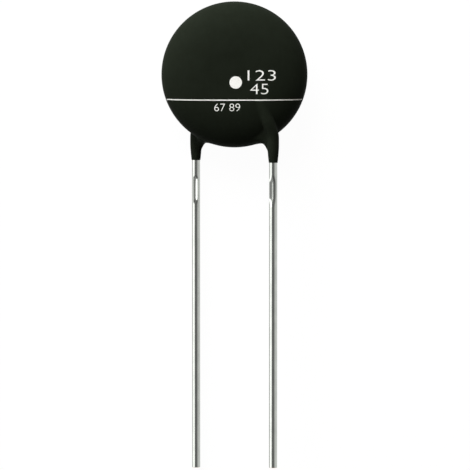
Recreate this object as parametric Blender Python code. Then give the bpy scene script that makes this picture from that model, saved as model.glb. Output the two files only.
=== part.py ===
"""Disc NTC thermistor with two straight wire leads, lying on its back.

Lengths are metres. X runs across the two leads, Y from the lead tips up to the disc, and Z from
the rear face to the front face. Each piece is drawn round the centre of the ceramic disc, and the
whole part then stands on Z = 0 with its outline centred on the Z axis. The rear half is the front
half turned half a turn about the Y axis: lead, solder joint and electrode are the same pieces.
"""

import math

import bmesh
import bpy
import numpy as np
from mathutils import Matrix, Vector

MM = 0.001

# Ceramic disc and the silver fired on to its two faces
CERAMIC_DIAMETER = 12.9 * MM
CERAMIC_THICKNESS = 2.4 * MM
CERAMIC_EDGE_BREAK = 0.12 * MM
SILVER_MARGIN = 0.4 * MM
SILVER_THICKNESS = 0.04 * MM

# Clearance between pieces that touch in the real part
SEAT_GAP = 0.02 * MM

# Wire leads: the standard pitch, and the free length below the coated disc
WIRE_DIAMETER = 0.8 * MM
LEAD_PITCH = 7.5 * MM
LEAD_LENGTH = 31.3 * MM
BEND_INSET = 0.6 * MM
BEND_RADIUS = 2.0 * MM
LEAD_END_SIDE = 1.2 * MM
LEAD_END_RISE = 0.9 * MM

# Scoops that the forming jaws press into the front and back of each wire
JAW_DROP = 3.0 * MM
JAW_MARK_LENGTH = 2.35 * MM
JAW_MARK_DEPTH = 0.09 * MM
JAW_RADIUS = 0.35 * MM

# Solder joint: a low mound over the end of the wire
SOLDER_LENGTH = 5.8 * MM
SOLDER_WIDTH = 2.7 * MM
SOLDER_HEIGHT = 0.95 * MM
SOLDER_SINK = 0.65 * MM
SOLDER_SETBACK = 2.2 * MM

# Dip coating: its cover over the ceramic's rim and over the wire, and the shape of its dome
COAT_RIM_COVER = 0.6 * MM
COAT_WIRE_COVER = 0.42 * MM
CROWN_RADIUS = 2.0 * MM
DOME_FULLNESS = 2.25
SLEEVE_RUN = 1.34 * MM
SLEEVE_WALL = 0.14 * MM
SLEEVE_TIP_WALL = 0.05 * MM
SLEEVE_TAPER = 1.1 * MM

# Fillets that the wet resin forms between the disc and a sleeve
FACE_FILLET = 0.5 * MM
INNER_FILLET = 1.8 * MM
OUTER_FILLET = 0.5 * MM
FILLET_FADE = 2.0 * MM
WEB_START = 1.65 * MM
WEB_FULL = 0.45 * MM

# Fineness of the faceted surfaces
SKIN_CELL = 0.13 * MM
SKIN_PASSES = 2
SKIN_FACES = 6600
WIRE_SIDES = 20
ROUND_STEPS = 64
JOINT_STEPS = 24
ARC_STEPS = 5
FIELD_STEP = 0.001 * MM

# Sizes that follow from the ones above
WIRE_RADIUS = WIRE_DIAMETER / 2
CERAMIC_RADIUS = CERAMIC_DIAMETER / 2
SILVER_RADIUS = CERAMIC_RADIUS - SILVER_MARGIN
SILVER_BASE = CERAMIC_THICKNESS / 2 + SEAT_GAP
JOINT_BASE = SILVER_BASE + SILVER_THICKNESS + SEAT_GAP
LEAD_HEIGHT = JOINT_BASE + WIRE_RADIUS
COAT_RADIUS = CERAMIC_RADIUS + COAT_RIM_COVER
COAT_HALF = LEAD_HEIGHT + WIRE_RADIUS + COAT_WIRE_COVER
LEAD_TIP = COAT_RADIUS + LEAD_LENGTH
SLEEVE_END = COAT_RADIUS + SLEEVE_RUN
BEND_DROP = CERAMIC_RADIUS - BEND_INSET
BORE_RADIUS = WIRE_RADIUS + SEAT_GAP

# The two sides of the part, as the sign of X and Z on each
FRONT = 1
REAR = -1
SIDE_NAMES = {FRONT: "front", REAR: "rear"}


def lead_path(extra_end=0.0):
    """Centre line of the front wire in X and Y, from its tip to its end in the solder."""
    tip = Vector((LEAD_PITCH / 2, -LEAD_TIP))
    bend = Vector((LEAD_PITCH / 2, -BEND_DROP))
    end = Vector((LEAD_END_SIDE, LEAD_END_RISE))
    lean = (end - bend).normalized()
    turn = math.atan2(-lean.x, lean.y)
    tangent = BEND_RADIUS * math.tan(turn / 2)
    centre = bend + Vector((-BEND_RADIUS, -tangent))
    points = [tip]
    for step in range(ARC_STEPS + 1):
        angle = turn * step / ARC_STEPS
        points.append(centre + BEND_RADIUS * Vector((math.cos(angle), math.sin(angle))))
    points.append(end + lean * extra_end)
    return points


def lead_lean():
    """Direction of the front wire where it crosses the face, and that direction's angle from +Y."""
    path = lead_path()
    lean = (path[-1] - path[-2]).normalized()
    return lean, math.atan2(-lean.x, lean.y)


# The skin of the resin, as fields that are zero on the surface and negative inside it


def dome_field(points):
    """Field of the domed disc: a flat crown that rolls over into a round rim."""
    reach = np.hypot(points[:, 0], points[:, 1])
    spread = COAT_RADIUS - CROWN_RADIUS
    out = np.maximum(reach - CROWN_RADIUS, 0.0) / spread + 1e-9
    up = np.abs(points[:, 2]) / COAT_HALF + 1e-9
    level = (out**DOME_FULLNESS + up**DOME_FULLNESS) ** (1 / DOME_FULLNESS)
    power = DOME_FULLNESS - 1
    slope = level**-power * np.hypot(out**power / spread, up**power / COAT_HALF)
    return (level - 1.0) / slope


def sleeve_radius(drop):
    """Radius of the resin round a wire, which thins towards the sleeve's cut end."""
    along = np.clip((drop - SLEEVE_END + SLEEVE_TAPER) / SLEEVE_TAPER, 0.0, 1.0)
    return WIRE_RADIUS + SLEEVE_WALL - (SLEEVE_WALL - SLEEVE_TIP_WALL) * along**2


def sleeve_field(points, side):
    """Field of the resin that follows one wire."""
    across = side * points[:, 0]
    up = points[:, 1]
    path = lead_path()
    nearest = np.full(len(points), np.inf)
    for start, stop in zip(path, path[1:]):
        run = stop - start
        share = ((across - start.x) * run.x + (up - start.y) * run.y) / run.length_squared
        share = np.clip(share, 0.0, 1.0)
        distance = np.hypot(across - start.x - share * run.x, up - start.y - share * run.y)
        nearest = np.minimum(nearest, distance)
    return np.hypot(nearest, side * points[:, 2] - LEAD_HEIGHT) - sleeve_radius(-up)


def ease(low, high, values):
    """Rise smoothly from 0 at low to 1 at high."""
    share = np.clip((values - low) / (high - low), 0.0, 1.0)
    return share * share * (3.0 - 2.0 * share)


def fillet_width(points, side):
    """Width of the resin's fillet: slight over the face, and widest between the two leads."""
    reach = np.hypot(points[:, 0], points[:, 1])
    outer = ease(-SLEEVE_WALL - WIRE_RADIUS, WIRE_RADIUS, side * points[:, 0] - LEAD_PITCH / 2)
    web = INNER_FILLET + (OUTER_FILLET - INNER_FILLET) * outer
    face = FACE_FILLET * ease(CROWN_RADIUS, CROWN_RADIUS + FILLET_FADE, reach)
    at_rim = ease(COAT_RADIUS - WEB_START, COAT_RADIUS - WEB_FULL, reach)
    return face + (web - face) * at_rim


def skin_field(points):
    """Field of the whole coating, with the disc and the sleeves blended by their fillets."""
    field = dome_field(points)
    for side in (FRONT, REAR):
        sleeve = sleeve_field(points, side)
        width = np.maximum(fillet_width(points, side), FIELD_STEP)
        overlap = np.maximum(width - np.abs(field - sleeve), 0.0) / width
        field = np.minimum(field, sleeve) - overlap * overlap * width / 4
    return field


def settle_on_skin(mesh, rounds=8):
    """Move each point of a mesh along the field's slope until it lies on the resin's skin."""
    flat = np.empty(len(mesh.vertices) * 3)
    mesh.vertices.foreach_get("co", flat)
    points = flat.reshape(-1, 3)
    for _ in range(rounds):
        value = skin_field(points)
        slope = np.empty_like(points)
        for axis in range(3):
            shift = np.zeros(3)
            shift[axis] = FIELD_STEP
            ahead = skin_field(points + shift)
            behind = skin_field(points - shift)
            slope[:, axis] = (ahead - behind) / (2 * FIELD_STEP)
        steep = np.maximum((slope**2).sum(axis=1), 0.1)
        points -= slope * (value / steep)[:, None]
    mesh.vertices.foreach_set("co", points.ravel())
    mesh.update()


# Shapes


def spun_mesh(name, profile, steps):
    """Closed solid turned about Z from a profile of (radius, z), both ends of it on the axis."""
    shape = bmesh.new()
    corners = [shape.verts.new((radius, 0.0, z)) for radius, z in profile]
    for first, second in zip(corners, corners[1:]):
        shape.edges.new((first, second))
    bmesh.ops.spin(
        shape,
        geom=shape.verts[:] + shape.edges[:],
        cent=(0.0, 0.0, 0.0),
        axis=(0.0, 0.0, 1.0),
        angle=2 * math.pi,
        steps=steps,
        use_merge=True,
    )
    bmesh.ops.remove_doubles(shape, verts=shape.verts[:], dist=0.001 * MM)
    bmesh.ops.recalc_face_normals(shape, faces=shape.faces[:])
    return finished_mesh(name, shape)


def tube_mesh(name, path, radius, height, sides=WIRE_SIDES):
    """Round solid along a path in X and Y, at one height, with flat ends."""
    curve = bpy.data.curves.new(name, "CURVE")
    curve.dimensions = "3D"
    curve.bevel_depth = radius
    curve.bevel_resolution = (sides - 4) // 2
    curve.use_fill_caps = True
    spline = curve.splines.new("POLY")
    spline.points.add(len(path) - 1)
    for point, place in zip(spline.points, path):
        point.co = (place.x, place.y, height, 1.0)
    holder = bpy.data.objects.new(name, curve)
    mesh = bpy.data.meshes.new_from_object(holder)
    bpy.data.objects.remove(holder)
    bpy.data.curves.remove(curve)
    shape = bmesh.new()
    shape.from_mesh(mesh)
    bpy.data.meshes.remove(mesh)
    bmesh.ops.remove_doubles(shape, verts=shape.verts[:], dist=0.001 * MM)
    bmesh.ops.recalc_face_normals(shape, faces=shape.faces[:])
    return finished_mesh(name, shape)


def mound_mesh(name, cover, base):
    """Cap of an ellipsoid over the end of the front wire, cut flat at the height of its base."""
    lean, angle = lead_lean()
    middle = lead_path()[-1] - lean * SOLDER_SETBACK
    tall = SOLDER_HEIGHT + SOLDER_SINK
    foot = math.sqrt(1.0 - (SOLDER_SINK / tall) ** 2)
    size = (SOLDER_WIDTH / 2 / foot + cover, SOLDER_LENGTH / 2 / foot + cover, tall + cover)
    shape = bmesh.new()
    bmesh.ops.create_uvsphere(shape, u_segments=JOINT_STEPS, v_segments=JOINT_STEPS // 2, radius=1.0)
    bmesh.ops.scale(shape, verts=shape.verts[:], vec=size)
    bmesh.ops.rotate(shape, verts=shape.verts[:], cent=(0.0, 0.0, 0.0), matrix=Matrix.Rotation(angle, 3, "Z"))
    bmesh.ops.translate(shape, verts=shape.verts[:], vec=(middle.x, middle.y, JOINT_BASE - SOLDER_SINK))
    bmesh.ops.bisect_plane(
        shape,
        geom=shape.verts[:] + shape.edges[:] + shape.faces[:],
        plane_co=(0.0, 0.0, base),
        plane_no=(0.0, 0.0, 1.0),
        clear_inner=True,
    )
    bmesh.ops.holes_fill(shape, edges=[edge for edge in shape.edges if edge.is_boundary])
    bmesh.ops.recalc_face_normals(shape, faces=shape.faces[:])
    return finished_mesh(name, shape)


def jaw_mesh(name):
    """The two jaws that press a wire from its front and its back, drawn as long ellipsoids."""
    share = (JAW_RADIUS - JAW_MARK_DEPTH) / JAW_RADIUS
    length = JAW_MARK_LENGTH / 2 / math.sqrt(1.0 - share**2)
    place = -(COAT_RADIUS + JAW_DROP + JAW_MARK_LENGTH / 2)
    shape = bmesh.new()
    for direction in (1, -1):
        centre = LEAD_HEIGHT + direction * (WIRE_RADIUS + JAW_RADIUS - JAW_MARK_DEPTH)
        matrix = Matrix.Translation((LEAD_PITCH / 2, place, centre))
        matrix = matrix @ Matrix.Diagonal((JAW_RADIUS, length, JAW_RADIUS, 1.0))
        bmesh.ops.create_uvsphere(
            shape, u_segments=JOINT_STEPS, v_segments=JOINT_STEPS // 2, radius=1.0, matrix=matrix
        )
    return finished_mesh(name, shape)


def finished_mesh(name, shape):
    """Turn a bmesh into a named mesh and free it."""
    mesh = bpy.data.meshes.new(name)
    shape.to_mesh(mesh)
    shape.free()
    return mesh


def dome_profile():
    """Half section of the domed disc, from the middle of its rear face to that of its front."""
    profile = [(0.0, -COAT_HALF)]
    steps = ROUND_STEPS // 4
    for step in range(2 * steps + 1):
        angle = math.pi * (step / (2 * steps) - 0.5)
        power = 2 / DOME_FULLNESS
        out = abs(math.cos(angle)) ** power
        up = math.copysign(abs(math.sin(angle)) ** power, math.sin(angle))
        profile.append((CROWN_RADIUS + (COAT_RADIUS - CROWN_RADIUS) * out, COAT_HALF * up))
    profile.append((0.0, COAT_HALF))
    return profile


def modified_mesh(mesh, kind, **settings):
    """Apply one modifier to a mesh and return the result."""
    holder = bpy.data.objects.new(mesh.name, mesh)
    bpy.context.scene.collection.objects.link(holder)
    modifier = holder.modifiers.new(kind, kind)
    for key, value in settings.items():
        setattr(modifier, key, value)
    seen = holder.evaluated_get(bpy.context.evaluated_depsgraph_get())
    result = bpy.data.meshes.new_from_object(seen)
    bpy.data.objects.remove(holder)
    bpy.data.meshes.remove(mesh)
    return result


def skin_mesh(name):
    """Outer skin of the coating: disc and sleeves fused, settled on the field, and cut at the ends."""
    shape = bmesh.new()
    shape.from_mesh(spun_mesh("dome", dome_profile(), ROUND_STEPS))
    margin = SLEEVE_RUN / 2
    path = lead_path()
    path[0] = Vector((LEAD_PITCH / 2, -SLEEVE_END - margin))
    for side in (FRONT, REAR):
        sleeve = tube_mesh("sleeve", path, WIRE_RADIUS + SLEEVE_WALL, LEAD_HEIGHT)
        if side == REAR:
            sleeve.transform(Matrix.Rotation(math.pi, 4, "Y"))
        shape.from_mesh(sleeve)
    mesh = finished_mesh(name, shape)
    for _ in range(SKIN_PASSES):
        mesh = modified_mesh(mesh, "REMESH", mode="VOXEL", voxel_size=SKIN_CELL)
        settle_on_skin(mesh)
    share = SKIN_FACES / (2 * len(mesh.polygons))
    mesh = modified_mesh(mesh, "DECIMATE", ratio=min(1.0, share), use_collapse_triangulate=True)
    settle_on_skin(mesh)
    shape = bmesh.new()
    shape.from_mesh(mesh)
    bpy.data.meshes.remove(mesh)
    bmesh.ops.bisect_plane(
        shape,
        geom=shape.verts[:] + shape.edges[:] + shape.faces[:],
        plane_co=(0.0, -SLEEVE_END, 0.0),
        plane_no=(0.0, 1.0, 0.0),
        clear_inner=True,
    )
    bmesh.ops.holes_fill(shape, edges=[edge for edge in shape.edges if edge.is_boundary])
    bmesh.ops.recalc_face_normals(shape, faces=shape.faces[:])
    return finished_mesh(name, shape)


def pocket_profile():
    """Half section of the room that the ceramic and its two silver faces take up in the resin."""
    step = CERAMIC_THICKNESS / 2 + SEAT_GAP
    wide = CERAMIC_RADIUS + SEAT_GAP
    narrow = SILVER_RADIUS + SEAT_GAP
    half = [(wide, step), (narrow, step), (narrow, JOINT_BASE), (0.0, JOINT_BASE)]
    return [(radius, -z) for radius, z in reversed(half)] + half


def ceramic_profile():
    """Half section of the ceramic disc, with its pressed edges broken."""
    half = CERAMIC_THICKNESS / 2
    upper = [
        (CERAMIC_RADIUS, half - CERAMIC_EDGE_BREAK),
        (CERAMIC_RADIUS - CERAMIC_EDGE_BREAK, half),
        (0.0, half),
    ]
    return [(radius, -z) for radius, z in reversed(upper)] + upper


def silver_profile():
    """Half section of the silver layer on the front face."""
    top = SILVER_BASE + SILVER_THICKNESS
    return [(0.0, SILVER_BASE), (SILVER_RADIUS, SILVER_BASE), (SILVER_RADIUS, top), (0.0, top)]


# Materials and objects


def material(name, color, roughness, metallic=0.0):
    """Principled material with one colour."""
    finish = bpy.data.materials.new(name)
    finish.use_nodes = True
    shader = finish.node_tree.nodes["Principled BSDF"]
    shader.inputs["Base Color"].default_value = (*color, 1.0)
    shader.inputs["Roughness"].default_value = roughness
    shader.inputs["Metallic"].default_value = metallic
    finish.diffuse_color = (*color, 1.0)
    return finish


def add_piece(name, mesh, finish, stand, side=FRONT):
    """Place a named piece on the stand, turned half a turn about Y for the rear side."""
    mesh.materials.clear()
    mesh.materials.append(finish)
    mesh.shade_smooth()
    mesh.set_sharp_from_angle(angle=math.radians(35))
    piece = bpy.data.objects.new(name, mesh)
    piece.parent = stand
    piece.rotation_euler = (0.0, 0.0 if side == FRONT else math.pi, 0.0)
    bpy.context.scene.collection.objects.link(piece)
    return piece


def add_cutter(name, mesh, stand, side=FRONT):
    """Place a hidden tool shape on the stand."""
    cutter = bpy.data.objects.new(name, mesh)
    cutter.parent = stand
    cutter.rotation_euler = (0.0, 0.0 if side == FRONT else math.pi, 0.0)
    cutter.display_type = "WIRE"
    cutter.hide_render = True
    bpy.context.scene.collection.objects.link(cutter)
    return cutter


def cut(piece, cutter):
    """Cut one shape out of a piece."""
    modifier = piece.modifiers.new(cutter.name, "BOOLEAN")
    modifier.operation = "DIFFERENCE"
    modifier.solver = "EXACT"
    modifier.object = cutter


def build_ceramic(stand):
    """The ceramic disc and its two silver faces."""
    oxide = material("sintered_oxide", (0.035, 0.033, 0.032), 0.75)
    add_piece("ceramic_disc", spun_mesh("ceramic_disc", ceramic_profile(), ROUND_STEPS), oxide, stand)
    silver = material("fired_silver", (0.78, 0.77, 0.74), 0.5, 1.0)
    for side, word in SIDE_NAMES.items():
        mesh = spun_mesh(f"{word}_electrode", silver_profile(), ROUND_STEPS)
        add_piece(f"{word}_electrode", mesh, silver, stand, side)


def build_leads(stand):
    """The two wires and the solder mounds over their ends. Returns the bores that clear them."""
    tinned = material("tinned_copper", (0.62, 0.62, 0.60), 0.22, 1.0)
    solder = material("solder", (0.55, 0.55, 0.54), 0.35, 1.0)
    bores = {}
    for side, word in SIDE_NAMES.items():
        mesh = tube_mesh(f"{word}_lead", lead_path(), WIRE_RADIUS, LEAD_HEIGHT)
        lead = add_piece(f"{word}_lead", mesh, tinned, stand, side)
        cut(lead, add_cutter(f"{word}_jaws", jaw_mesh(f"{word}_jaws"), stand, side))
        path = lead_path(extra_end=SEAT_GAP)
        bore = tube_mesh(f"{word}_bore", path, BORE_RADIUS, LEAD_HEIGHT)
        bores[side] = add_cutter(f"{word}_bore", bore, stand, side)
        mound = mound_mesh(f"{word}_solder", 0.0, JOINT_BASE)
        joint = add_piece(f"{word}_solder", mound, solder, stand, side)
        cut(joint, bores[side])
    return bores


def build_coating(stand, bores):
    """The resin, hollowed for the ceramic, the solder joints and the wires."""
    resin = material("black_epoxy", (0.012, 0.014, 0.010), 0.42)
    coating = add_piece("coating", skin_mesh("coating"), resin, stand)
    pocket = spun_mesh("ceramic_pocket", pocket_profile(), ROUND_STEPS)
    cut(coating, add_cutter("ceramic_pocket", pocket, stand))
    for side, word in SIDE_NAMES.items():
        pocket = mound_mesh(f"{word}_joint_pocket", SEAT_GAP, 0.0)
        cut(coating, add_cutter(f"{word}_joint_pocket", pocket, stand, side))
        cut(coating, bores[side])


def main():
    """Clear the scene and build the part on its stand."""
    for item in list(bpy.data.objects):
        bpy.data.objects.remove(item)
    stand = bpy.data.objects.new("disc_centre", None)
    stand.location = (0.0, (LEAD_TIP - COAT_RADIUS) / 2, COAT_HALF)
    bpy.context.scene.collection.objects.link(stand)
    build_ceramic(stand)
    bores = build_leads(stand)
    build_coating(stand, bores)


main()
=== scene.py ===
"""Looks of a disc NTC thermistor: its dip coating, its wire leads, its face print, and a plain studio.

Lengths are metres. Each piece is shaped round the middle of the ceramic disc, with X across the
leads, Y from the lead tips up to the disc and Z out of the printed face, and its mesh is then moved
to where the frame holds the disc.
"""

import logging
import math
from dataclasses import dataclass
from enum import Enum
from typing import Any, Union

import bmesh
import bpy
import numpy as np
from mathutils import Matrix, Vector


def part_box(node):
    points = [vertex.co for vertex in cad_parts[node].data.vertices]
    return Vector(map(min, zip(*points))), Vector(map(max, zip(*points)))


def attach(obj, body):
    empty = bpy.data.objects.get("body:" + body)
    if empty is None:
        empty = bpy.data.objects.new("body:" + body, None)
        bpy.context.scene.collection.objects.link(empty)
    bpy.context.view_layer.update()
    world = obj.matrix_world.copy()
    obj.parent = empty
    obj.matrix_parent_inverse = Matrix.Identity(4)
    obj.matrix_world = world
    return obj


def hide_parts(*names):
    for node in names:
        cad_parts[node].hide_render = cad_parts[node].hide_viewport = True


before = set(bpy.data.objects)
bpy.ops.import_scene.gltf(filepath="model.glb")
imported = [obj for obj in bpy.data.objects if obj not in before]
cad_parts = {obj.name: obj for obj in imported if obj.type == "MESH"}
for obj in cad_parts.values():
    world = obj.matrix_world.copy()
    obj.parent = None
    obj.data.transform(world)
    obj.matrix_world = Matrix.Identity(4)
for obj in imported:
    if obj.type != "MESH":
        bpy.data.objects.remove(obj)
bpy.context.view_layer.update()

MM = 0.001
PER_MM = 1000.0
BODY = "root"
WELD = 0.001 * MM
Triple = tuple[float, float, float]
Color = Triple

log = logging.getLogger("thermistor")


class Side(Enum):
    """Which face of the disc a wire lies on: the sign of X and Z there."""

    FRONT = 1
    REAR = -1

    @property
    def word(self) -> str:
        """The side's name in the names of pieces."""
        return self.name.lower()

    @property
    def turn(self) -> Matrix:
        """Turn that brings a front piece to this side."""
        return Matrix.Rotation(0.0 if self is Side.FRONT else math.pi, 4, "Y")


# Shader graphs


class Value:
    """A shader socket whose arithmetic adds Math nodes."""

    def __init__(self, graph: "Graph", socket: bpy.types.NodeSocket) -> None:
        """Keep the graph and the socket that the value comes from."""
        self.graph = graph
        self.socket = socket

    def _math(self, operation: str, *terms: "Number") -> "Value":
        """Add one Math node.

        Args:
            operation: The node's operation.
            *terms: Its inputs, in order.

        Returns:
            The node's result.
        """
        return self.graph.add("ShaderNodeMath", {"operation": operation}, dict(enumerate(terms)))

    def __add__(self, other: "Number") -> "Value":
        """Sum of two values."""
        return self._math("ADD", self, other)

    def __radd__(self, other: "Number") -> "Value":
        """Sum with a number on the left."""
        return self._math("ADD", other, self)

    def __sub__(self, other: "Number") -> "Value":
        """Difference of two values."""
        return self._math("SUBTRACT", self, other)

    def __rsub__(self, other: "Number") -> "Value":
        """Difference with a number on the left."""
        return self._math("SUBTRACT", other, self)

    def __mul__(self, other: "Number") -> "Value":
        """Product of two values."""
        return self._math("MULTIPLY", self, other)

    def __rmul__(self, other: "Number") -> "Value":
        """Product with a number on the left."""
        return self._math("MULTIPLY", other, self)

    def rise(self, low: float, high: float) -> "Value":
        """Smooth step of this value.

        Args:
            low: Where the step is 0.
            high: Where the step is 1. It may be below low, for a step that falls.

        Returns:
            The step, from 0 to 1.
        """
        settings = {"interpolation_type": "SMOOTHSTEP"}
        if low < high:
            return self.graph.add("ShaderNodeMapRange", settings, {0: self, 1: low, 2: high})
        return 1.0 - self.graph.add("ShaderNodeMapRange", settings, {0: self, 1: high, 2: low})


Number = Union[Value, float]


class Graph:
    """A node tree that is built from expressions."""

    def __init__(self, tree: bpy.types.NodeTree) -> None:
        """Empty the tree and keep it."""
        self.tree = tree
        self.tree.nodes.clear()

    def add(
        self,
        kind: str,
        settings: dict[str, Any] | None = None,
        sockets: dict[Any, Any] | None = None,
        output: int | str = 0,
    ) -> Value:
        """Add one node.

        Args:
            kind: The node's type.
            settings: Its properties, set first.
            sockets: Its inputs by name or number, each a value or a number to set.
            output: The output that is wanted.

        Returns:
            The wanted output.
        """
        node = self.tree.nodes.new(kind)
        for key, value in (settings or {}).items():
            setattr(node, key, value)
        for key, value in (sockets or {}).items():
            if isinstance(value, Value):
                self.tree.links.new(value.socket, node.inputs[key])
            else:
                node.inputs[key].default_value = value
        found = node.outputs[output] if node.outputs else None
        return Value(self, found)

    def place(self) -> Value:
        """Object coordinates in millimetres."""
        here = self.add("ShaderNodeTexCoord", output="Object")
        return self.add("ShaderNodeVectorMath", {"operation": "SCALE"}, {0: here, "Scale": PER_MM})

    def split(self, vector: Value) -> tuple[Value, Value, Value]:
        """The three parts of a vector."""
        node = self.add("ShaderNodeSeparateXYZ", sockets={0: vector}).socket.node
        return tuple(Value(self, socket) for socket in node.outputs)

    def noise(self, place: Value, size: float, detail: float = 2.0, stretch: Triple = (1, 1, 1)) -> Value:
        """Soft noise.

        Args:
            place: The coordinates that it reads, in millimetres.
            size: Width of its spots in millimetres.
            detail: How many finer layers it has.
            stretch: How much longer its spots are along each axis.

        Returns:
            The noise, from 0 to 1.
        """
        scale = tuple(1.0 / (size * part) for part in stretch)
        scaled = self.add("ShaderNodeMapping", sockets={"Vector": place, "Scale": scale})
        return self.add("ShaderNodeTexNoise", sockets={"Vector": scaled, "Scale": 1.0, "Detail": detail})

    def blend(self, share: Number, first: Any, second: Any) -> Value:
        """Colour between two colours.

        Args:
            share: 0 for the first colour and 1 for the second.
            first: A colour or the value of one.
            second: A colour or the value of one.

        Returns:
            The mixed colour.
        """
        ends = [(*end, 1.0) if isinstance(end, tuple) else end for end in (first, second)]
        return self.add("ShaderNodeMix", {"data_type": "RGBA"}, {0: share, 6: ends[0], 7: ends[1]}, 2)

    def seen(self) -> Value:
        """1 for rays from the camera and from glossy or clear surfaces, and 0 for those from matte ones."""
        rays = self.add("ShaderNodeLightPath").socket.node
        seen = Value(self, rays.outputs["Is Camera Ray"])
        seen = seen + Value(self, rays.outputs["Is Glossy Ray"])
        return seen + Value(self, rays.outputs["Is Transmission Ray"])

    def bump(self, height: Value, depth: float) -> Value:
        """Normal of a surface with a relief, whose height from 0 to 1 stands for a depth in metres."""
        return self.add("ShaderNodeBump", sockets={"Height": height, "Strength": 1.0, "Distance": depth})


class Finish:
    """Base of a surface finish: a named material whose Principled shader is fed by a method."""

    name = "finish"

    def inputs(self, graph: Graph) -> dict[str, Any]:
        """The shader's inputs."""
        raise NotImplementedError

    def material(self) -> bpy.types.Material:
        """Make the material, or find it if it was made before.

        Returns:
            The material.
        """
        made = bpy.data.materials.get(self.name)
        if made:
            return made
        made = bpy.data.materials.new(self.name)
        made.use_nodes = True
        graph = Graph(made.node_tree)
        shader = graph.add("ShaderNodeBsdfPrincipled", sockets=self.inputs(graph))
        graph.add("ShaderNodeOutputMaterial", sockets={"Surface": shader})
        return made


@dataclass(frozen=True)
class ResinFinish(Finish):
    """Satin dip coating: nearly black with a green cast, mottled, with a slight orange peel."""

    name: str = "dip_coating"
    light: Color = (0.0117, 0.0149, 0.0101)
    dark: Color = (0.0104, 0.0132, 0.0088)
    roughness: float = 0.58
    gloss_level: float = 0.015
    mottle_size: float = 1.3
    streak_size: float = 0.35
    peel_size: float = 0.55
    peel_depth: float = 0.007 * MM
    grain_size: float = 0.07
    grain_depth: float = 0.0012 * MM

    def inputs(self, graph: Graph) -> dict[str, Any]:
        """Mottled colour and roughness, and a relief of peel with grain on it."""
        place = graph.place()
        mottle = graph.noise(place, self.mottle_size, 4.0)
        streak = graph.noise(place, self.streak_size, 3.0, (1.0, 3.5, 1.0))
        grain = graph.noise(place, self.grain_size, 2.0)
        peel = graph.noise(place, self.peel_size, 1.0)
        shade = (mottle * 0.6 + streak * 0.4).rise(0.34, 0.66)
        ratio = self.grain_depth / self.peel_depth
        return {
            "Base Color": graph.blend(shade, self.dark, self.light),
            "Roughness": self.roughness - 0.03 + shade * 0.04 + grain * 0.05,
            "Specular IOR Level": self.gloss_level,
            "Normal": graph.bump(peel + grain * ratio, self.peel_depth),
        }


@dataclass(frozen=True)
class TinFinish(Finish):
    """Bright tin plate on drawn copper wire, sheared at the tip so that the copper shows.

    The tip is the Y of the sheared end and the skin is how far the copper shows above it, in
    millimetres.
    """

    name: str = "tin_plate"
    light: Color = (0.52, 0.54, 0.505)
    dark: Color = (0.46, 0.48, 0.45)
    copper: Color = (0.62, 0.30, 0.17)
    roughness: float = 0.15
    line_size: float = 0.05
    line_depth: float = 0.0001 * MM
    cloud_size: float = 0.5
    smear_size: float = 0.18
    tip: float = 0.0
    skin: float = 0.03

    def inputs(self, graph: Graph) -> dict[str, Any]:
        """Drawing lines along the wire, slight clouding, and bare copper on the sheared end."""
        place = graph.place()
        lines = graph.noise(place, self.line_size, 2.0, (1.0, 60.0, 1.0))
        cloud = graph.noise(place, self.cloud_size, 3.0, (1.0, 3.0, 1.0))
        plate = graph.blend(cloud.rise(0.3, 0.7), self.dark, self.light)
        along = graph.split(place)[1]
        sheared = along.rise(self.tip + self.skin, self.tip + self.skin / 2)
        smear = graph.noise(place, self.smear_size, 2.0).rise(0.52, 0.62)
        return {
            "Base Color": graph.blend(sheared * (1.0 - smear * 0.8), plate, self.copper),
            "Metallic": 1.0,
            "Roughness": self.roughness + cloud * 0.05 + sheared * 0.2,
            "Normal": graph.bump(lines, self.line_depth),
        }


@dataclass(frozen=True)
class InkFinish(Finish):
    """White marking ink, a little thin in places."""

    name: str = "marking_ink"
    full: Color = (0.95, 0.96, 0.93)
    thin: Color = (0.84, 0.86, 0.82)
    roughness: float = 0.55
    spot: float = 0.12
    depth: float = 0.002 * MM

    def inputs(self, graph: Graph) -> dict[str, Any]:
        """Ink that is thinner where the resin's grain shows through."""
        place = graph.place()
        cover = graph.noise(place, self.spot, 3.0).rise(0.32, 0.5)
        return {
            "Base Color": graph.blend(cover, self.thin, self.full),
            "Roughness": self.roughness + cover * 0.1,
            "Normal": graph.bump(cover, self.depth),
        }


@dataclass(frozen=True)
class OxideFinish(Finish):
    """Sintered oxide ceramic: matte, dark and finely speckled."""

    name: str = "sintered_oxide"
    light: Color = (0.055, 0.052, 0.050)
    dark: Color = (0.028, 0.027, 0.026)
    roughness: float = 0.7
    fine_spot: float = 0.08
    wide_spot: float = 0.6
    depth: float = 0.003 * MM

    def inputs(self, graph: Graph) -> dict[str, Any]:
        """Speckles of two sizes."""
        place = graph.place()
        speckle = graph.noise(place, self.fine_spot, 3.0)
        shade = (speckle * 0.7 + graph.noise(place, self.wide_spot) * 0.3).rise(0.35, 0.65)
        return {
            "Base Color": graph.blend(shade, self.dark, self.light),
            "Roughness": self.roughness + shade * 0.15,
            "Normal": graph.bump(speckle, self.depth),
        }


@dataclass(frozen=True)
class MetalFinish(Finish):
    """Plain metal that was fired or melted on: fired silver and solder."""

    name: str = "fired_silver"
    light: Color = (0.80, 0.79, 0.76)
    dark: Color = (0.66, 0.65, 0.62)
    roughness: float = 0.45
    spot: float = 0.25
    depth: float = 0.002 * MM

    def inputs(self, graph: Graph) -> dict[str, Any]:
        """Slight clouding of colour and gloss."""
        place = graph.place()
        cloud = graph.noise(place, self.spot, 3.0)
        return {
            "Base Color": graph.blend(cloud.rise(0.3, 0.7), self.dark, self.light),
            "Metallic": 1.0,
            "Roughness": self.roughness + cloud * 0.12,
            "Normal": graph.bump(cloud, self.depth),
        }


# Meshes


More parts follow.
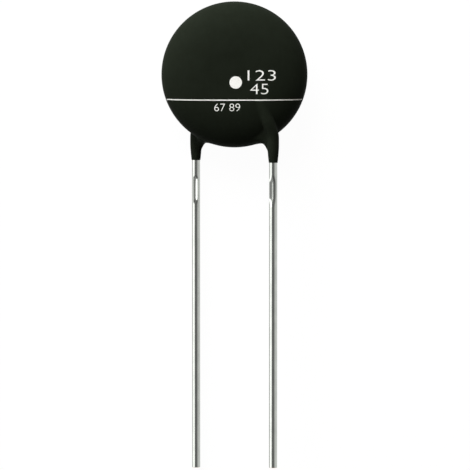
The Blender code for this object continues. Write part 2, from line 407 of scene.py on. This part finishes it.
def disc_middle() -> Vector:
    """Middle of the ceramic disc in the frame."""
    low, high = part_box("ceramic_disc")
    return (low + high) / 2


def finished(shape: bmesh.types.BMesh, name: str, weld: bool = True) -> bpy.types.Mesh:
    """Turn a bmesh into a mesh.

    Args:
        shape: The bmesh, which is freed.
        name: The mesh's name.
        weld: Whether to close its seams and turn its faces out first.

    Returns:
        The mesh.
    """
    if weld:
        bmesh.ops.remove_doubles(shape, verts=shape.verts[:], dist=WELD)
        bmesh.ops.recalc_face_normals(shape, faces=shape.faces[:])
    mesh = bpy.data.meshes.new(name)
    shape.to_mesh(mesh)
    shape.free()
    return mesh


def modified(mesh: bpy.types.Mesh, kind: str, **settings: Any) -> bpy.types.Mesh:
    """Apply one modifier to a mesh.

    Args:
        mesh: The mesh, which is removed.
        kind: The modifier's type.
        **settings: The modifier's properties.

    Returns:
        The new mesh.
    """
    holder = bpy.data.objects.new(mesh.name, mesh)
    bpy.context.scene.collection.objects.link(holder)
    modifier = holder.modifiers.new(kind, kind)
    for key, value in settings.items():
        setattr(modifier, key, value)
    seen = holder.evaluated_get(bpy.context.evaluated_depsgraph_get())
    result = bpy.data.meshes.new_from_object(seen)
    bpy.data.objects.remove(holder)
    bpy.data.meshes.remove(mesh)
    return result


def combined(first: bpy.types.Mesh, second: bpy.types.Mesh, operation: str) -> bpy.types.Mesh:
    """Boolean of two meshes.

    Args:
        first: The mesh that is kept or cut.
        second: The mesh that is added or cut away. Both meshes are removed.
        operation: UNION or DIFFERENCE.

    Returns:
        The new mesh.
    """
    tool = bpy.data.objects.new("tool", second)
    bpy.context.scene.collection.objects.link(tool)
    result = modified(first, "BOOLEAN", operation=operation, solver="EXACT", object=tool)
    bpy.data.objects.remove(tool)
    bpy.data.meshes.remove(second)
    return result


def dressed(
    mesh: bpy.types.Mesh, name: str, finish: Finish, sharp: float = 40.0
) -> bpy.types.Object:
    """Move a mesh to its place in the frame and make it a piece of the object.

    Args:
        mesh: The mesh, drawn round the middle of the disc.
        name: The piece's name.
        finish: Its finish.
        sharp: Angle in degrees above which an edge stays sharp.

    Returns:
        The piece, which rides on the body.
    """
    mesh.transform(Matrix.Translation(disc_middle()))
    mesh.materials.clear()
    mesh.materials.append(finish.material())
    mesh.shade_smooth()
    mesh.set_sharp_from_angle(angle=math.radians(sharp))
    piece = bpy.data.objects.new(name, mesh)
    bpy.context.scene.collection.objects.link(piece)
    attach(piece, BODY)
    log.info("%s: %d faces", name, len(mesh.polygons))
    return piece


def spun(profile: list[tuple[float, float]], steps: int, name: str) -> bpy.types.Mesh:
    """Closed solid turned about Z.

    Args:
        profile: Points of (radius, z), the first and last on the axis.
        steps: Number of steps round the axis.
        name: The mesh's name.

    Returns:
        The mesh.
    """
    shape = bmesh.new()
    corners = [shape.verts.new((radius, 0.0, z)) for radius, z in profile]
    for first, second in zip(corners, corners[1:]):
        shape.edges.new((first, second))
    bmesh.ops.spin(
        shape,
        geom=shape.verts[:] + shape.edges[:],
        cent=(0.0, 0.0, 0.0),
        axis=(0.0, 0.0, 1.0),
        angle=2 * math.pi,
        steps=steps,
        use_merge=True,
    )
    return finished(shape, name)


@dataclass(frozen=True)
class Route:
    """Centre line of the front wire, round the middle of the disc."""

    half_pitch: float
    height: float
    radius: float
    tip: float
    bend: float = -5.85 * MM
    bend_radius: float = 2.0 * MM
    bend_steps: int = 8
    end: tuple[float, float] = (1.2 * MM, 0.9 * MM)

    @classmethod
    def from_frame(cls) -> "Route":
        """Read the wire's size and place from the frame's front lead."""
        low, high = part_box("front_lead")
        middle = disc_middle()
        radius = (high.z - low.z) / 2
        height = (high.z + low.z) / 2 - middle.z
        return cls(high.x - middle.x - radius, height, radius, low.y - middle.y)

    @property
    def turn(self) -> float:
        """Angle of the wire's bend where it reaches the disc."""
        return math.atan2(self.half_pitch - self.end[0], self.end[1] - self.bend)

    @property
    def arc_start(self) -> float:
        """Y at which the straight run ends and the bend starts."""
        return self.bend - self.bend_radius * math.tan(self.turn / 2)

    def points(self) -> list[Vector]:
        """Points of the centre line in X and Y."""
        centre = Vector((self.half_pitch - self.bend_radius, self.arc_start))
        line = [Vector((self.half_pitch, self.tip))]
        for step in range(self.bend_steps + 1):
            angle = self.turn * step / self.bend_steps
            line.append(centre + self.bend_radius * Vector((math.cos(angle), math.sin(angle))))
        line.append(Vector(self.end))
        return line

    def tube(self, radius: float, start: float, stations: list[float], sides: int) -> bmesh.types.BMesh:
        """Round solid along the route.

        Args:
            radius: The tube's radius.
            start: Y of its lower end.
            stations: Y of each ring between that end and the bend, rising.
            sides: Number of sides.

        Returns:
            The closed tube.
        """
        shape = bmesh.new()
        foot = Matrix.Translation((self.half_pitch, start, self.height))
        upright = foot @ Matrix.Rotation(math.pi / 2, 4, "X")
        bmesh.ops.create_circle(shape, segments=sides, radius=radius, matrix=upright, cap_ends=True)
        ring = shape.edges[:]
        level = start
        for station in [*stations, self.arc_start]:
            ring = self._extended(shape, ring, Vector((0.0, station - level, 0.0)))
            level = station
        centre = (self.half_pitch - self.bend_radius, self.arc_start, self.height)
        bent = bmesh.ops.spin(
            shape, geom=ring, cent=centre, axis=(0, 0, 1), angle=self.turn, steps=self.bend_steps
        )
        ring = [item for item in bent["geom_last"] if isinstance(item, bmesh.types.BMEdge)]
        last = self.points()[-2]
        ring = self._extended(shape, ring, Vector((*(Vector(self.end) - last), 0.0)))
        bmesh.ops.contextual_create(shape, geom=ring)
        bmesh.ops.remove_doubles(shape, verts=shape.verts[:], dist=WELD)
        bmesh.ops.recalc_face_normals(shape, faces=shape.faces[:])
        return shape

    @staticmethod
    def _extended(
        shape: bmesh.types.BMesh, ring: list[bmesh.types.BMEdge], move: Vector
    ) -> list[bmesh.types.BMEdge]:
        """Extrude a ring of edges.

        Args:
            shape: The bmesh.
            ring: The edges.
            move: How far the new ring is from the old one.

        Returns:
            The new ring.
        """
        grown = bmesh.ops.extrude_edge_only(shape, edges=ring)["geom"]
        verts = [item for item in grown if isinstance(item, bmesh.types.BMVert)]
        bmesh.ops.translate(shape, verts=verts, vec=move)
        edges = [item for item in grown if isinstance(item, bmesh.types.BMEdge)]
        return [item for item in edges if len(item.link_faces) == 1]


@dataclass(frozen=True)
class JawMark:
    """Mark that a forming jaw pressed into a wire.

    The pressed face is given by its tilt in degrees at places across the wire, in wire radii, and it
    meets the round wire at one of them. A tilt above 0 leans to the right as seen from the front.
    """

    top: float
    length: float
    tilts: tuple[tuple[float, float], ...]
    meet: float
    upper_ramp: float = 0.6 * MM
    lower_ramp: float = 0.95 * MM
    edge: float = 0.06
    back_share: float = 0.45
    samples: int = 801

    def section(self, across: np.ndarray) -> np.ndarray:
        """Height of the pressed face across the wire, in wire radii."""
        grid = np.linspace(-1.0, 1.0, self.samples)
        places, tilts = zip(*self.tilts)
        slopes = -np.tan(np.radians(np.interp(grid, places, tilts)))
        heights = np.cumsum(slopes) * (grid[1] - grid[0])
        heights += math.sqrt(1.0 - self.meet**2) - np.interp(self.meet, grid, heights)
        return np.interp(across, grid, heights)

    def press(self, shape: bmesh.types.BMesh, axis: tuple[float, float], radius: float, side: Side) -> None:
        """Press the mark into a wire, deeply on the side that is seen and lightly on its back.

        Args:
            shape: The wire, drawn on the front.
            axis: X and Z of its centre line.
            radius: Its radius.
            side: The side of the disc that it will be turned to.
        """
        middle = self.top - self.length / 2
        reach = [vert for vert in shape.verts if abs(vert.co.y - middle) < self.length / 2]
        places = np.array([vert.co for vert in reach])
        across = (places[:, 0] - axis[0]) / radius
        up = (places[:, 2] - axis[1]) / radius
        facing = np.where(up > 0.0, 1.0, -1.0)
        round_height = up * facing
        pressed = self.section(np.clip(across * facing, -1.0, 1.0))
        near = np.maximum(self.edge - np.abs(round_height - pressed), 0.0) / self.edge
        lower = np.minimum(round_height, pressed) - near * near * self.edge / 4
        along = places[:, 1] - middle
        ramp = np.where(along > 0.0, self.upper_ramp, self.lower_ramp)
        inside = np.clip((self.length / 2 - np.abs(along)) / ramp, 0.0, 1.0)
        share = inside * inside * (3.0 - 2.0 * inside) * np.where(facing == side.value, 1.0, self.back_share)
        moved = axis[1] + radius * facing * (round_height + (lower - round_height) * share)
        for vert, height in zip(reach, moved):
            vert.co.z = height


@dataclass
class Lead:
    """A tinned wire with its sheared tip and the mark that a forming jaw left in it."""

    side: Side
    route: Route
    mark: JawMark
    trim: float = 0.0
    sides: int = 128
    chamfer: float = 0.035 * MM
    ring_step: float = 0.025 * MM
    plain_step: float = 1.5 * MM

    @property
    def end(self) -> float:
        """Y of the sheared end, from the middle of the disc."""
        return self.route.tip + self.trim

    def build(self) -> bpy.types.Object:
        """Draw the wire and put it in place of the frame's plain one."""
        margin = 2 * self.ring_step
        low = self.mark.top - self.mark.length - margin
        count = round((self.mark.length + 2 * margin) / self.ring_step)
        plain = round((low - self.end) / self.plain_step)
        stations = [self.end + 2 * self.chamfer, self.end + 4 * self.chamfer]
        stations += [self.end + (low - self.end) * step / plain for step in range(1, plain)]
        stations += [low + step * self.ring_step for step in range(count + 1)]
        shape = self.route.tube(self.route.radius, self.end, stations, self.sides)
        self._break_tip(shape)
        axis = (self.route.half_pitch, self.route.height)
        self.mark.press(shape, axis, self.route.radius, self.side)
        name = f"{self.side.word}_wire"
        mesh = finished(shape, name)
        mesh.transform(self.side.turn)
        tip = (self.end + disc_middle().y) * PER_MM
        finish = TinFinish(name=f"{self.side.word}_tin_plate", tip=tip)
        piece = dressed(mesh, name, finish)
        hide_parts(f"{self.side.word}_lead")
        return piece

    def _break_tip(self, shape: bmesh.types.BMesh) -> None:
        """Round the edge of the sheared tip."""
        rim = [edge for edge in shape.edges if all(vert.co.y < self.end + WELD for vert in edge.verts)]
        bmesh.ops.bevel(
            shape, geom=rim, offset=self.chamfer, segments=3, profile=0.5, affect="EDGES", material=-1
        )


@dataclass
class Coating:
    """The dip coating: a domed disc with a sleeve down each wire, blended as wet resin blends."""

    route: Route
    radius: float
    half: float
    swell: float = 0.035 * MM
    crown: float = 2.0 * MM
    fullness: float = 2.25
    sleeve_end: float = 8.43 * MM
    sleeve_slant: float = 0.0107
    sleeve_wall: float = 0.165 * MM
    sleeve_tip_wall: float = 0.03 * MM
    sleeve_taper: float = 1.7 * MM
    taper_power: float = 1.6
    sleeve_spare: float = 0.6 * MM
    room_spare: float = 1.0 * MM
    face_wall: float = 0.05 * MM
    face_lift: float = 0.2 * MM
    face_start: float = -6.4 * MM
    face_full: float = -4.4 * MM
    face_fillet: float = 0.08 * MM
    crest_fillet: float = 0.2 * MM
    crest_start: float = 4.0 * MM
    crest_end: float = 5.8 * MM
    inner_fillet: float = 2.0 * MM
    outer_fillet: float = 0.42 * MM
    fillet_fade: float = 2.3 * MM
    web_start: float = 1.65 * MM
    web_full: float = 0.45 * MM
    web_back: float = -0.36 * MM
    web_front: float = 0.2 * MM
    web_thin: float = -2.3 * MM
    web_thick: float = -1.5 * MM
    cell: float = 0.1 * MM
    gap: float = 0.02 * MM
    probe: float = 0.001 * MM
    tiny: float = 1e-9
    least_slope: float = 0.1
    turns: int = 96
    sleeve_sides: int = 48
    room_sides: int = 40
    solder_half: tuple[float, float] = (1.48 * MM, 3.17 * MM)
    solder_depth: float = 0.65 * MM

    @classmethod
    def from_frame(cls, route: Route) -> "Coating":
        """Read the coating's size from the frame."""
        low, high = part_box("coating")
        return cls(route, (high.x - low.x) / 2 + cls.swell, (high.z - low.z) / 2)

    def dome(self, points: np.ndarray) -> np.ndarray:
        """Field of the domed disc: a flat crown that rolls over into a round rim."""
        reach = np.hypot(points[:, 0], points[:, 1])
        spread = self.radius - self.crown
        out = np.maximum(reach - self.crown, 0.0) / spread + self.tiny
        up = np.abs(points[:, 2]) / self.half + self.tiny
        level = (out**self.fullness + up**self.fullness) ** (1 / self.fullness)
        power = self.fullness - 1
        slope = level**-power * np.hypot(out**power / spread, up**power / self.half)
        return (level - 1.0) / slope

    def sleeve(self, points: np.ndarray, side: Side) -> np.ndarray:
        """Field of the resin that follows one wire."""
        across = side.value * points[:, 0]
        up = points[:, 1]
        line = self.route.points()
        nearest = np.full(len(points), np.inf)
        for start, stop in zip(line, line[1:]):
            run = stop - start
            share = ((across - start.x) * run.x + (up - start.y) * run.y) / run.length_squared
            share = np.clip(share, 0.0, 1.0)
            distance = np.hypot(across - start.x - share * run.x, up - start.y - share * run.y)
            nearest = np.minimum(nearest, distance)
        end = self.sleeve_end + self.sleeve_slant * points[:, 0]
        along = np.clip((-up - end + self.sleeve_taper) / self.sleeve_taper, 0.0, 1.0)
        wall = self.sleeve_wall - (self.sleeve_wall - self.sleeve_tip_wall) * along**self.taper_power
        on_face = self.ease(self.face_start, self.face_full, up)
        above = side.value * points[:, 2] - self.route.height - self.face_lift * on_face
        return np.hypot(nearest, above) - self.route.radius - wall - self.face_wall * on_face

    @staticmethod
    def ease(low: float, high: float, values: np.ndarray) -> np.ndarray:
        """Rise smoothly from 0 at low to 1 at high."""
        share = np.clip((values - low) / (high - low), 0.0, 1.0)
        return share * share * (3.0 - 2.0 * share)

    def fillet(self, points: np.ndarray, side: Side) -> np.ndarray:
        """Width of the fillet: slight over the face, and widest in the web between the two leads."""
        reach = np.hypot(points[:, 0], points[:, 1])
        aside = side.value * points[:, 0] - self.route.half_pitch
        outer = self.ease(-self.sleeve_wall - self.route.radius, self.route.radius, aside)
        web = self.inner_fillet + (self.outer_fillet - self.inner_fillet) * outer
        crest = 1.0 - self.ease(self.crest_start, self.crest_end, reach)
        face = self.face_fillet + (self.crest_fillet - self.face_fillet) * crest
        face = face * self.ease(self.crown, self.crown + self.fillet_fade, reach)
        at_rim = self.ease(self.radius - self.web_start, self.radius - self.web_full, reach)
        above = side.value * points[:, 2] - self.route.height
        behind = self.ease(self.web_thin, self.web_thick, above)
        behind = behind - self.ease(self.web_back, self.web_front, above)
        return face + (web - face) * at_rim * behind

    def field(self, points: np.ndarray) -> np.ndarray:
        """Field of the whole coating: zero on its skin and negative inside it."""
        result = self.dome(points)
        for side in Side:
            sleeve = self.sleeve(points, side)
            width = np.maximum(self.fillet(points, side), self.probe)
            overlap = np.maximum(width - np.abs(result - sleeve), 0.0) / width
            result = np.minimum(result, sleeve) - overlap * overlap * width / 4
        return result

    def settle(self, mesh: bpy.types.Mesh, rounds: int = 8) -> None:
        """Move each point of a mesh along the field's slope until it lies on the skin.

        Args:
            mesh: The mesh.
            rounds: How many times each point is moved.
        """
        flat = np.empty(len(mesh.vertices) * 3)
        mesh.vertices.foreach_get("co", flat)
        points = flat.reshape(-1, 3)
        for _ in range(rounds):
            value = self.field(points)
            slope = np.empty_like(points)
            for axis, shift in enumerate(np.eye(3) * self.probe):
                slope[:, axis] = (self.field(points + shift) - self.field(points - shift)) / (2 * self.probe)
            steep = np.maximum((slope**2).sum(axis=1), self.least_slope)
            points -= slope * (value / steep)[:, None]
        mesh.vertices.foreach_set("co", points.ravel())
        mesh.update()

    def heights(self, flat: np.ndarray, rounds: int = 60, stride: float = 0.8) -> np.ndarray:
        """Height of the front skin over points in X and Y.

        Args:
            flat: The points, one row each.
            rounds: How many times each point is lowered to the skin.
            stride: Share of its distance from the skin that it is lowered by.

        Returns:
            Z of the skin over each point.
        """
        points = np.column_stack([flat, np.full(len(flat), self.half + self.gap)])
        for _ in range(rounds):
            points[:, 2] -= stride * self.field(points)
        return points[:, 2]

    def _profile(self, steps: int = 24) -> list[tuple[float, float]]:
        """Half section of the domed disc, with a given number of steps on each side."""
        section = [(0.0, -self.half)]
        for step in range(2 * steps + 1):
            angle = math.pi * (step / (2 * steps) - 0.5)
            power = 2 / self.fullness
            out = abs(math.cos(angle)) ** power
            up = math.copysign(abs(math.sin(angle)) ** power, math.sin(angle))
            section.append((self.crown + (self.radius - self.crown) * out, self.half * up))
        section.append((0.0, self.half))
        return section

    def _skin(self) -> bpy.types.Mesh:
        """Outer skin: disc and sleeves fused, settled on the field and cut flat at the sleeves' ends."""
        shape = bmesh.new()
        shape.from_mesh(spun(self._profile(), self.turns, "dome"))
        radius = self.route.radius + self.sleeve_wall
        start = -self.sleeve_end - self.sleeve_spare
        for side in Side:
            mesh = finished(self.route.tube(radius, start, [], self.sleeve_sides), "sleeve")
            mesh.transform(side.turn)
            shape.from_mesh(mesh)
        mesh = finished(shape, "coating_skin", weld=False)
        for _ in range(2):
            mesh = modified(mesh, "REMESH", mode="VOXEL", voxel_size=self.cell)
            self.settle(mesh)
        shape = bmesh.new()
        shape.from_mesh(mesh)
        bpy.data.meshes.remove(mesh)
        bmesh.ops.bisect_plane(
            shape,
            geom=shape.verts[:] + shape.edges[:] + shape.faces[:],
            plane_co=(0.0, -self.sleeve_end, 0.0),
            plane_no=(self.sleeve_slant, 1.0, 0.0),
            clear_inner=True,
        )
        bmesh.ops.holes_fill(shape, edges=[edge for edge in shape.edges if edge.is_boundary])
        return finished(shape, "coating_skin", weld=False)

    def _room(self) -> bpy.types.Mesh:
        """The room inside the resin for the ceramic, the silver, the solder and the wires."""
        ceramic = self._reach("ceramic_disc")
        silver = self._reach("front_electrode")
        step = (ceramic[0] + self.gap, ceramic[1] + self.gap)
        inner = (silver[0] + self.gap, silver[1] + self.gap)
        upper = [step, (inner[0], step[1]), inner, (0.0, inner[1])]
        room = spun([(radius, -z) for radius, z in reversed(upper)] + upper, self.turns, "room")
        radius = self.route.radius + self.gap
        start = -self.sleeve_end - self.room_spare
        for side in Side:
            wire = finished(self.route.tube(radius, start, [], self.room_sides), "wire_room")
            wire.transform(side.turn)
            room = combined(room, wire, "UNION")
            room = combined(room, self._solder_room(side), "UNION")
        return room

    @staticmethod
    def _reach(node: str) -> tuple[float, float]:
        """Radius and top of a round node of the frame, from the middle of the disc."""
        low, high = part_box(node)
        return (high.x - low.x) / 2, high.z - disc_middle().z

    def _solder_room(self, side: Side) -> bpy.types.Mesh:
        """Ellipsoid that clears one solder mound and reaches down into the ceramic's room."""
        low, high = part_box("front_solder")
        middle = (low + high) / 2 - disc_middle()
        centre = low.z - disc_middle().z - self.solder_depth
        reach = (*self.solder_half, high.z - low.z + self.solder_depth)
        shape = bmesh.new()
        bmesh.ops.create_uvsphere(
            shape, u_segments=self.room_sides, v_segments=self.room_sides // 2, radius=1.0
        )
        bmesh.ops.scale(shape, verts=shape.verts[:], vec=[half + self.gap for half in reach])
        turn = Matrix.Rotation(self.route.turn, 3, "Z")
        bmesh.ops.rotate(shape, verts=shape.verts[:], cent=(0, 0, 0), matrix=turn)
        bmesh.ops.translate(shape, verts=shape.verts[:], vec=(middle.x, middle.y, centre))
        mesh = finished(shape, "solder_room")
        mesh.transform(side.turn)
        return mesh

    def build(self) -> bpy.types.Object:
        """Make the coating and put it in place of the frame's faceted one."""
        mesh = combined(self._skin(), self._room(), "DIFFERENCE")
        piece = dressed(mesh, "coating_shell", ResinFinish(), 50.0)
        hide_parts("coating")
        return piece


@dataclass
class FacePrint:
    """White print on the face: one plain line, plain figures and a dot, laid on the curved skin."""

    coating: Coating
    line_drop: float = 2.385 * MM
    line_half: float = 6.55 * MM
    line_width: float = 0.107 * MM
    line_steps: int = 480
    dot: Triple = (0.12 * MM, -0.68 * MM, 0.60 * MM)
    dot_steps: int = 48
    thinned: float = -0.012
    lift: float = 0.006 * MM
    sink: float = 0.01 * MM
    facet: float = 0.2 * MM

    def build(self) -> list[bpy.types.Object]:
        """Print the line, the dot and the figures."""
        figures = {
            "figures_top": ("123", 1.27 * MM, -0.50 * MM, 2.72 * MM, 1.00 * MM),
            "figures_middle": ("45", 1.52 * MM, -1.82 * MM, 1.75 * MM, 1.02 * MM),
            "figures_low": ("67 89", -1.95 * MM, -3.46 * MM, 2.50 * MM, 0.74 * MM),
        }
        pieces = [self._laid(self._line(), "printed_line"), self._laid(self._dot(), "printed_dot")]
        for name, row in figures.items():
            pieces.append(self._laid(self._figures(*row), name))
        return pieces

    def _line(self) -> bmesh.types.BMesh:
        """Flat strip of the printed line."""
        shape = bmesh.new()
        bmesh.ops.create_grid(shape, x_segments=self.line_steps, y_segments=1, size=1.0)
        bmesh.ops.scale(shape, verts=shape.verts[:], vec=(self.line_half, self.line_width / 2, 1.0))
        bmesh.ops.translate(shape, verts=shape.verts[:], vec=(0.0, -self.line_drop, 0.0))
        return shape

    def _dot(self) -> bmesh.types.BMesh:
        """Flat round dot."""
        shape = bmesh.new()
        x, y, radius = self.dot
        place = Matrix.Translation((x, y, 0.0))
        bmesh.ops.create_circle(
            shape, segments=self.dot_steps, radius=radius, cap_ends=True, matrix=place
        )
        return shape

    def _figures(self, text: str, left: float, base: float, width: float, height: float) -> bmesh.types.BMesh:
        """Flat outline of a row of figures.

        Args:
            text: The figures.
            left: X of the row's left end.
            base: Y of its foot.
            width: Its length.
            height: Height of a figure.

        Returns:
            The flat shape.
        """
        curve = bpy.data.curves.new("figures", "FONT")
        curve.body = text
        curve.offset = self.thinned
        holder = bpy.data.objects.new("figures", curve)
        mesh = bpy.data.meshes.new_from_object(holder)
        bpy.data.objects.remove(holder)
        shape = bmesh.new()
        shape.from_mesh(mesh)
        bpy.data.meshes.remove(mesh)
        places = np.array([vert.co[:2] for vert in shape.verts])
        low, high = places.min(axis=0), places.max(axis=0)
        grow = Matrix.Diagonal((width / (high[0] - low[0]), height / (high[1] - low[1]), 1.0, 1.0))
        move = Matrix.Translation((left, base, 0.0)) @ grow @ Matrix.Translation((-low[0], -low[1], 0.0))
        bmesh.ops.transform(shape, matrix=move, verts=shape.verts[:])
        bmesh.ops.remove_doubles(shape, verts=shape.verts[:], dist=WELD)
        return shape

    def _laid(self, shape: bmesh.types.BMesh, name: str) -> bpy.types.Object:
        """Cut a flat shape into facets, give it its thickness and lay it on the skin.

        Args:
            shape: The flat shape.
            name: The piece's name.

        Returns:
            The piece.
        """
        places = np.array([vert.co[:2] for vert in shape.verts])
        for axis in range(2):
            normal = Vector((1.0, 0.0, 0.0)) if axis == 0 else Vector((0.0, 1.0, 0.0))
            cuts = np.arange(places[:, axis].min(), places[:, axis].max(), self.facet)[1:]
            for cut in cuts:
                geometry = shape.verts[:] + shape.edges[:] + shape.faces[:]
                place = normal * float(cut)
                bmesh.ops.bisect_plane(shape, geom=geometry, dist=WELD, plane_co=place, plane_no=normal)
        bmesh.ops.remove_doubles(shape, verts=shape.verts[:], dist=WELD)
        bmesh.ops.triangulate(shape, faces=shape.faces[:])
        bmesh.ops.dissolve_degenerate(shape, edges=shape.edges[:], dist=WELD)
        grown = bmesh.ops.extrude_face_region(shape, geom=shape.faces[:])["geom"]
        upper = {item for item in grown if isinstance(item, bmesh.types.BMVert)}
        verts = shape.verts[:]
        heights = self.coating.heights(np.array([vert.co[:2] for vert in verts]))
        for vert, height in zip(verts, heights):
            vert.co.z = height + (self.lift if vert in upper else -self.sink)
        return dressed(finished(shape, name), name, InkFinish())


def dress_inner_pieces() -> None:
    """Give the frame's pieces inside the coating their own finishes."""
    solder = MetalFinish(
        name="soft_solder",
        light=(0.60, 0.60, 0.59),
        dark=(0.48, 0.48, 0.47),
        roughness=0.3,
        spot=0.4,
    )
    finishes = {
        "ceramic_disc": OxideFinish(),
        "front_electrode": MetalFinish(),
        "rear_electrode": MetalFinish(),
        "front_solder": solder,
        "rear_solder": solder,
    }
    for node, finish in finishes.items():
        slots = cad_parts[node].material_slots
        if slots:
            slots[0].material = finish.material()
        else:
            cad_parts[node].data.materials.append(finish.material())
        log.info("%s: %s", node, finish.name)


@dataclass(frozen=True)
class Softbox:
    """A soft lamp that faces the object. A radiance of 1 makes its face white."""

    name: str
    toward: Triple
    size: tuple[float, float]
    radiance: float
    mirrored: bool = True
    distance: float = 0.36

    def build(self) -> None:
        """Place the lamp. Glossy surfaces show it only if it is mirrored."""
        data = bpy.data.lights.new(self.name, "AREA")
        data.shape = "RECTANGLE"
        data.size, data.size_y = self.size
        data.energy = self.radiance * math.pi * self.size[0] * self.size[1]
        lamp = bpy.data.objects.new(self.name, data)
        direction = Vector(self.toward).normalized()
        lamp.location = direction * self.distance
        lamp.rotation_euler = direction.to_track_quat("Z", "Y").to_euler()
        lamp.visible_camera = False
        lamp.visible_glossy = self.mirrored
        bpy.context.scene.collection.objects.link(lamp)


@dataclass
class Studio:
    """Plain white floor, two soft lamps, a dim sky and the camera."""

    lamps: tuple[Softbox, ...] = (
        Softbox("left_softbox", (-0.80, 0.34, 0.40), (0.16, 0.30), 1.6),
        Softbox("far_softbox", (-0.33, 0.81, 0.43), (0.30, 0.30), 9.2, mirrored=False),
    )
    floor_half: float = 2.0
    floor_color: Color = (0.4, 0.4, 0.4)
    floor_glow: float = 1.08
    white_share: float = 0.9
    warm: Color = (1.0, 0.87, 0.74)
    white: Color = (1.0, 1.0, 1.0)
    camera_distance: float = 0.450
    camera_lift: float = math.radians(4.09)
    aim: tuple[float, float] = (0.0533 * MM, 0.037 * MM)
    pixels_per_radian: float = 4627.0
    frame_pixels: float = 470.0
    sensor: float = 36.0
    clip: tuple[float, float] = (0.01, 10.0)

    def build(self) -> None:
        """Set up the floor, the lamps, the sky and the camera."""
        self._floor()
        for lamp in self.lamps:
            lamp.build()
        self._sky()
        self._camera()

    def _floor(self) -> None:
        """Matte grey floor for the light that it throws back, seen as plain white with a faint shadow."""
        shape = bmesh.new()
        bmesh.ops.create_grid(shape, x_segments=4, y_segments=4, size=self.floor_half)
        floor = bpy.data.objects.new("floor", finished(shape, "floor", weld=False))
        bpy.context.scene.collection.objects.link(floor)
        material = bpy.data.materials.new("white_floor")
        material.use_nodes = True
        graph = Graph(material.node_tree)
        share = graph.seen() * self.white_share
        matte = graph.add("ShaderNodeBsdfDiffuse", sockets={"Color": (*self.floor_color, 1.0)})
        glow = {"Color": (*self.white, 1.0), "Strength": self.floor_glow}
        white = graph.add("ShaderNodeEmission", sockets=glow)
        both = graph.add("ShaderNodeMixShader", sockets={0: share, 1: matte, 2: white})
        graph.add("ShaderNodeOutputMaterial", sockets={"Surface": both})
        floor.data.materials.append(material)

    def _sky(self) -> None:
        """Dim warm sky that lights the object, with pale panels that only reflections show.

        The panels stand at the left, the right, the far and the near side. Below them is a white
        horizon, which the floor meets.
        """
        world = bpy.data.worlds.new("studio")
        world.use_nodes = True
        graph = Graph(world.node_tree)
        x, y, z = graph.split(graph.add("ShaderNodeTexCoord", output="Generated"))
        seen = graph.seen()
        overhead = z.rise(0.75, 0.95)
        fill = 0.04 + overhead * 0.17 + y.rise(0.2, 0.9) * 0.28
        fill = fill * (1.0 - y.rise(-0.15, -0.6) * 0.85)
        left = x.rise(-0.25, -0.7) * 0.42 + x.rise(-0.63, -0.8) * 2.0
        right = x.rise(0.22, 0.95) * 0.85
        far = y.rise(0.45, 0.75) * (x.rise(0.18, -0.1) * 0.75 - x.rise(-0.45, -0.7) * 0.5)
        near = y.rise(-0.35, -0.8) * 0.4
        panels = 0.04 - overhead * 0.05 + (left + right) * (y * y).rise(0.72, 0.36) + far + near
        mirrored = panels + (1.0 - fill - panels) * z.rise(0.13, 0.08)
        tint = graph.blend(seen, self.warm, self.white)
        light = {"Color": tint, "Strength": fill + mirrored * seen}
        ground = graph.add("ShaderNodeBackground", sockets=light)
        graph.add("ShaderNodeOutputWorld", sockets={"Surface": ground})
        bpy.context.scene.world = world

    def _camera(self) -> None:
        """Long lens over the face, tipped a little to the disc's far edge."""
        data = bpy.data.cameras.new("camera")
        data.sensor_width = self.sensor
        data.lens = self.pixels_per_radian / self.frame_pixels * self.sensor
        data.clip_start, data.clip_end = self.clip
        camera = bpy.data.objects.new("camera", data)
        aim = Matrix.Translation((*self.aim, disc_middle().z))
        tip = Matrix.Rotation(-self.camera_lift, 4, "X")
        camera.matrix_world = aim @ tip @ Matrix.Translation((0, 0, self.camera_distance))
        bpy.context.scene.collection.objects.link(camera)
        bpy.context.scene.camera = camera
        bpy.context.scene.view_settings.view_transform = "Standard"


def main() -> None:
    """Build every piece and the studio round the frame."""
    logging.basicConfig(level=logging.INFO, format="%(message)s")
    route = Route.from_frame()
    coating = Coating.from_frame(route)
    coating.build()
    # The wires are cut unequal, so that the tipped camera sees both tips at one level.
    cut = 0.18 * MM
    shoulder = ((-1.0, -14.0), (-0.61, -15.5), (-0.36, -18.5), (-0.15, -23.5), (-0.05, -22.0))
    shoulder += ((0.12, -10.0), (0.3, 0.0), (0.42, 4.0), (0.61, 20.0), (0.85, 34.0), (1.0, 60.0))
    notch = ((-1.0, 62.0), (-0.52, 52.0), (-0.42, 30.0), (-0.3, 0.0), (-0.16, -14.0), (-0.04, -24.0))
    notch += ((0.1, -34.0), (0.3, -40.0), (1.0, -42.0))
    ramps = {"upper_ramp": 0.9 * MM, "lower_ramp": 1.2 * MM}
    right_mark = JawMark(top=-9.6 * MM, length=3.3 * MM, tilts=shoulder, meet=0.85, **ramps)
    left_mark = JawMark(top=-9.85 * MM, length=2.95 * MM, tilts=notch, meet=0.4)
    Lead(Side.FRONT, route, right_mark, cut).build()
    Lead(Side.REAR, route, left_mark, -cut).build()
    FacePrint(coating).build()
    dress_inner_pieces()
    Studio().build()


if __name__ == "__main__":
    main()
